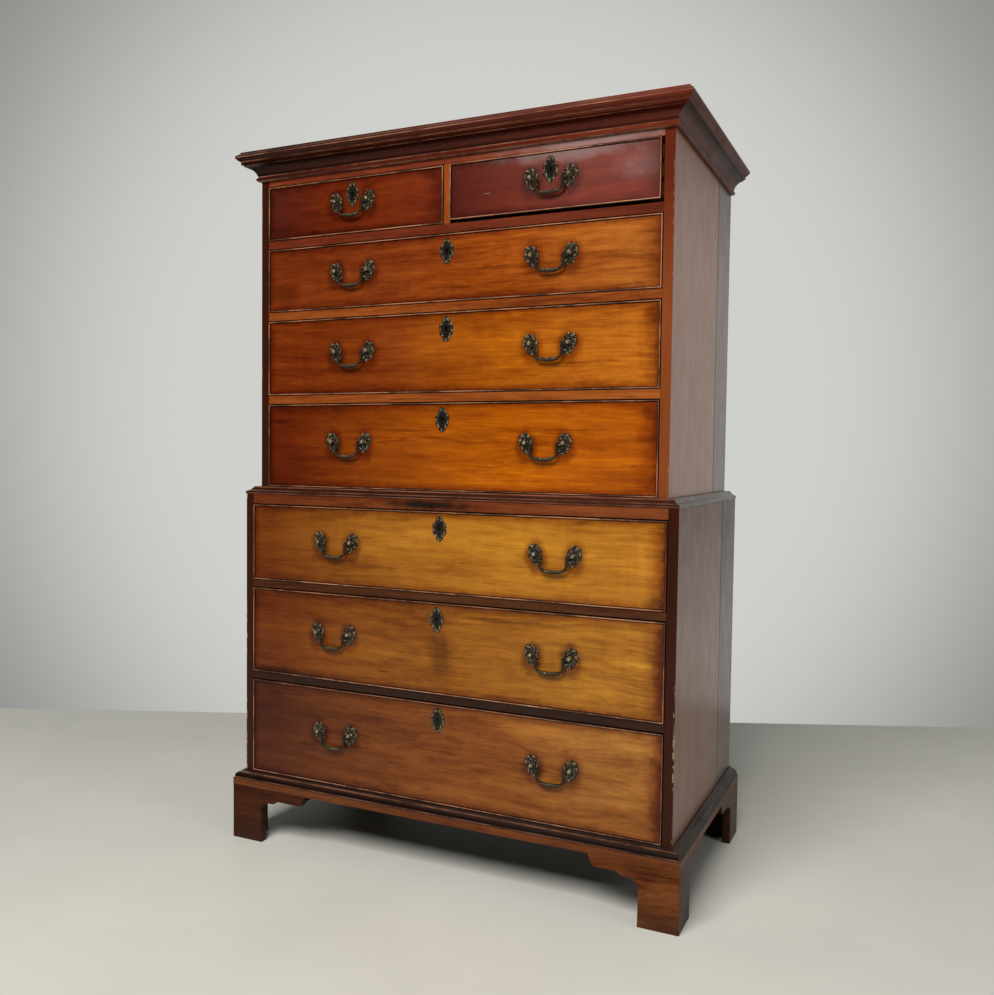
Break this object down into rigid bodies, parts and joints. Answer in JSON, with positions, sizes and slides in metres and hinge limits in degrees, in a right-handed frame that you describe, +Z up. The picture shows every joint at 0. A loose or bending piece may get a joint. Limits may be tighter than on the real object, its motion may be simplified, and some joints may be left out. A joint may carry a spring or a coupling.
{
  "type": "chest on chest",
  "caption": "Mahogany chest on chest with cock-beaded drawers, brass swan-neck handles, moulded cornice and bracket feet; drawers slide, bails swing, upper chest lifts off.",
  "frame": {"origin": "on the floor, at the middle of the width and depth of the whole chest", "axes": "+X to the right seen from the front, +Y to the back, +Z up"},
  "size_m": [1.1292, 0.598, 1.6852],
  "materials": {
    "mahogany_case": "polished, worn",
    "mahogany_front": "polished",
    "mahogany_moulding": "polished, dark",
    "oak": "bare, aged",
    "pine": "bare, aged",
    "brass": "old patina with rubbed high spots"
  },
  "bodies": {
    "lower_chest": {"lower_side_left": "mahogany_case", "lower_side_right": "mahogany_case", "lower_top_board": "pine", "lower_bottom_board": "pine", "lower_back_boards": "pine", "lower_drawer_rails": "mahogany_case", "lower_runners_and_dust_boards": "oak", "waist_moulding": "mahogany_moulding", "base_moulding": "mahogany_moulding", "plinth_frame": "pine", "foot_front_left": "mahogany_moulding", "foot_front_right": "mahogany_moulding", "foot_back_left": "mahogany_moulding", "foot_back_right": "mahogany_moulding"},
    "upper_chest": {"upper_side_left": "mahogany_case", "upper_side_right": "mahogany_case", "upper_top_board": "pine", "upper_bottom_board": "pine", "upper_back_boards": "pine", "upper_drawer_rails": "mahogany_case", "upper_runners_and_dust_boards": "oak", "cornice": "mahogany_moulding"},
    "lower_third_drawer": {"lower_third_drawer_front": "mahogany_front", "lower_third_drawer_box": "oak", "lower_third_drawer_brass": "brass"},
    "lower_third_drawer_bail_left": {"lower_third_drawer_bail_left": "brass"},
    "lower_third_drawer_bail_right": {"lower_third_drawer_bail_right": "brass"},
    "lower_second_drawer": {"lower_second_drawer_front": "mahogany_front", "lower_second_drawer_box": "oak", "lower_second_drawer_brass": "brass"},
    "lower_second_drawer_bail_left": {"lower_second_drawer_bail_left": "brass"},
    "lower_second_drawer_bail_right": {"lower_second_drawer_bail_right": "brass"},
    "lower_first_drawer": {"lower_first_drawer_front": "mahogany_front", "lower_first_drawer_box": "oak", "lower_first_drawer_brass": "brass"},
    "lower_first_drawer_bail_left": {"lower_first_drawer_bail_left": "brass"},
    "lower_first_drawer_bail_right": {"lower_first_drawer_bail_right": "brass"},
    "upper_third_drawer": {"upper_third_drawer_front": "mahogany_front", "upper_third_drawer_box": "oak", "upper_third_drawer_brass": "brass"},
    "upper_third_drawer_bail_left": {"upper_third_drawer_bail_left": "brass"},
    "upper_third_drawer_bail_right": {"upper_third_drawer_bail_right": "brass"},
    "upper_second_drawer": {"upper_second_drawer_front": "mahogany_front", "upper_second_drawer_box": "oak", "upper_second_drawer_brass": "brass"},
    "upper_second_drawer_bail_left": {"upper_second_drawer_bail_left": "brass"},
    "upper_second_drawer_bail_right": {"upper_second_drawer_bail_right": "brass"},
    "upper_first_drawer": {"upper_first_drawer_front": "mahogany_front", "upper_first_drawer_box": "oak", "upper_first_drawer_brass": "brass"},
    "upper_first_drawer_bail_left": {"upper_first_drawer_bail_left": "brass"},
    "upper_first_drawer_bail_right": {"upper_first_drawer_bail_right": "brass"},
    "short_left_drawer": {"short_left_drawer_front": "mahogany_front", "short_left_drawer_box": "oak", "short_left_drawer_brass": "brass"},
    "short_left_drawer_bail": {"short_left_drawer_bail": "brass"},
    "short_right_drawer": {"short_right_drawer_front": "mahogany_front", "short_right_drawer_box": "oak", "short_right_drawer_brass": "brass"},
    "short_right_drawer_bail": {"short_right_drawer_bail": "brass"}
  },
  "joints": [
    {"name": "upper_chest_lift", "type": "slide", "parent": "lower_chest", "child": "upper_chest", "axis": [0, 0, 1], "range_m": [0, 0.06]},
    {"name": "lower_third_drawer_slide", "type": "slide", "parent": "lower_chest", "child": "lower_third_drawer", "axis": [0, -1, 0], "range_m": [0, 0.4]},
    {"name": "lower_third_drawer_bail_left_hinge", "type": "hinge", "parent": "lower_third_drawer", "child": "lower_third_drawer_bail_left", "pos_m": [-0.277, -0.287, 0.2943], "axis": [-1, 0, 0], "range_deg": [0, 95]},
    {"name": "lower_third_drawer_bail_right_hinge", "type": "hinge", "parent": "lower_third_drawer", "child": "lower_third_drawer_bail_right", "pos_m": [0.277, -0.287, 0.2943], "axis": [-1, 0, 0], "range_deg": [0, 95]},
    {"name": "lower_second_drawer_slide", "type": "slide", "parent": "lower_chest", "child": "lower_second_drawer", "axis": [0, -1, 0], "range_m": [0, 0.4]},
    {"name": "lower_second_drawer_bail_left_hinge", "type": "hinge", "parent": "lower_second_drawer", "child": "lower_second_drawer_bail_left", "pos_m": [-0.282, -0.287, 0.5336], "axis": [-1, 0, 0], "range_deg": [0, 95]},
    {"name": "lower_second_drawer_bail_right_hinge", "type": "hinge", "parent": "lower_second_drawer", "child": "lower_second_drawer_bail_right", "pos_m": [0.272, -0.287, 0.5336], "axis": [-1, 0, 0], "range_deg": [0, 95]},
    {"name": "lower_first_drawer_slide", "type": "slide", "parent": "lower_chest", "child": "lower_first_drawer", "axis": [0, -1, 0], "range_m": [0, 0.4]},
    {"name": "lower_first_drawer_bail_left_hinge", "type": "hinge", "parent": "lower_first_drawer", "child": "lower_first_drawer_bail_left", "pos_m": [-0.277, -0.287, 0.75045], "axis": [-1, 0, 0], "range_deg": [0, 95]},
    {"name": "lower_first_drawer_bail_right_hinge", "type": "hinge", "parent": "lower_first_drawer", "child": "lower_first_drawer_bail_right", "pos_m": [0.277, -0.287, 0.75045], "axis": [-1, 0, 0], "range_deg": [0, 95]},
    {"name": "upper_third_drawer_slide", "type": "slide", "parent": "upper_chest", "child": "upper_third_drawer", "axis": [0, -1, 0], "range_m": [0, 0.38]},
    {"name": "upper_third_drawer_bail_left_hinge", "type": "hinge", "parent": "upper_third_drawer", "child": "upper_third_drawer_bail_left", "pos_m": [-0.258, -0.2644, 0.98735], "axis": [-1, 0, 0], "range_deg": [0, 95]},
    {"name": "upper_third_drawer_bail_right_hinge", "type": "hinge", "parent": "upper_third_drawer", "child": "upper_third_drawer_bail_right", "pos_m": [0.242, -0.2644, 0.98735], "axis": [-1, 0, 0], "range_deg": [0, 95]},
    {"name": "upper_second_drawer_slide", "type": "slide", "parent": "upper_chest", "child": "upper_second_drawer", "axis": [0, -1, 0], "range_m": [0, 0.38]},
    {"name": "upper_second_drawer_bail_left_hinge", "type": "hinge", "parent": "upper_second_drawer", "child": "upper_second_drawer_bail_left", "pos_m": [-0.25, -0.2644, 1.1997], "axis": [-1, 0, 0], "range_deg": [0, 95]},
    {"name": "upper_second_drawer_bail_right_hinge", "type": "hinge", "parent": "upper_second_drawer", "child": "upper_second_drawer_bail_right", "pos_m": [0.25, -0.2644, 1.1997], "axis": [-1, 0, 0], "range_deg": [0, 95]},
    {"name": "upper_first_drawer_slide", "type": "slide", "parent": "upper_chest", "child": "upper_first_drawer", "axis": [0, -1, 0], "range_m": [0, 0.38]},
    {"name": "upper_first_drawer_bail_left_hinge", "type": "hinge", "parent": "upper_first_drawer", "child": "upper_first_drawer_bail_left", "pos_m": [-0.25, -0.2644, 1.38715], "axis": [-1, 0, 0], "range_deg": [0, 95]},
    {"name": "upper_first_drawer_bail_right_hinge", "type": "hinge", "parent": "upper_first_drawer", "child": "upper_first_drawer_bail_right", "pos_m": [0.25, -0.2644, 1.38715], "axis": [-1, 0, 0], "range_deg": [0, 95]},
    {"name": "short_left_drawer_slide", "type": "slide", "parent": "upper_chest", "child": "short_left_drawer", "axis": [0, -1, 0], "range_m": [0, 0.38]},
    {"name": "short_left_drawer_bail_hinge", "type": "hinge", "parent": "short_left_drawer", "child": "short_left_drawer_bail", "pos_m": [-0.25095, -0.2644, 1.54915], "axis": [-1, 0, 0], "range_deg": [0, 95]},
    {"name": "short_right_drawer_slide", "type": "slide", "parent": "upper_chest", "child": "short_right_drawer", "axis": [0, -1, 0], "range_m": [-0.004, 0.38]},
    {"name": "short_right_drawer_bail_hinge", "type": "hinge", "parent": "short_right_drawer", "child": "short_right_drawer_bail", "pos_m": [0.24765, -0.2684, 1.54915], "axis": [-1, 0, 0], "range_deg": [0, 95]}
  ]
}
